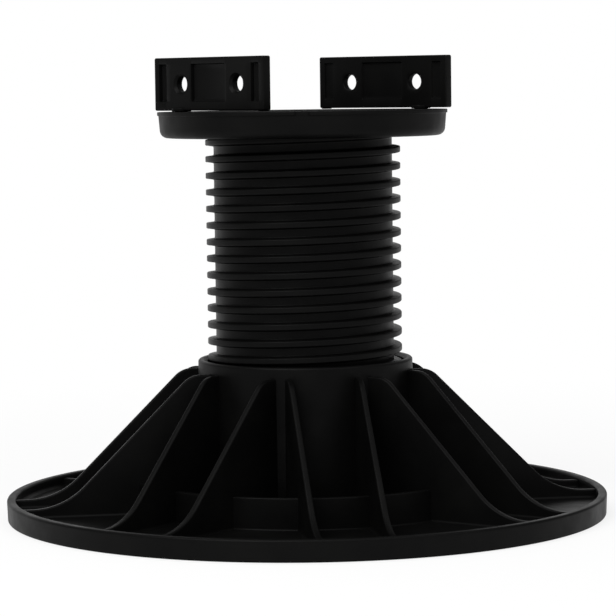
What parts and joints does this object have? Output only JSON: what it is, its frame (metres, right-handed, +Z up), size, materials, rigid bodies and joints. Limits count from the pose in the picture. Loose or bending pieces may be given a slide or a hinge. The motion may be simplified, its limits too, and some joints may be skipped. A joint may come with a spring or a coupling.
{
  "type": "adjustable deck pedestal",
  "caption": "Screw-adjustable deck pedestal: round ribbed foot, coarse threaded spindle, swivel head and joist lugs with screw holes.",
  "frame": {"origin": "centre of the foot plate's underside, on the screw axis", "axes": "+Z up along the screw axis, +X along the joist that the head carries"},
  "size_m": [0.2004, 0.2004, 0.1523],
  "materials": {
    "base_plastic": "black moulded polypropylene, satin",
    "spindle_plastic": "black moulded polypropylene, satin",
    "head_plastic": "black moulded polypropylene, fine matt",
    "lug_plastic": "black moulded polypropylene, satin"
  },
  "bodies": {
    "base": {"base": "base_plastic"},
    "head": {"head": "head_plastic"},
    "spindle": {"spindle": "spindle_plastic"},
    "front_lug": {"front_lug": "lug_plastic"},
    "back_lug": {"back_lug": "lug_plastic"}
  },
  "joints": [
    {"name": "head_lift", "type": "slide", "parent": "base", "child": "head", "axis": [0, 0, 1], "range_m": [-0.028, 0.006]},
    {"name": "spindle_turn", "type": "hinge", "parent": "head", "child": "spindle", "pos_m": [0, 0, 0.1312], "axis": [0, 0, 1], "range_deg": [-1832, 392]},
    {"name": "front_lug_swivel", "type": "hinge", "parent": "head", "child": "front_lug", "pos_m": [-0.02372, -0.03283, 0.1345], "axis": [0, 0, 1], "range_deg": [-10, 30]},
    {"name": "back_lug_swivel", "type": "hinge", "parent": "head", "child": "back_lug", "pos_m": [0.02372, 0.03283, 0.1345], "axis": [0, 0, 1], "range_deg": [-18, 22]}
  ],
  "couplings": [
    {"joint": "head_lift", "follows": "spindle_turn", "m_per_rad": 0.00087535}
  ]
}
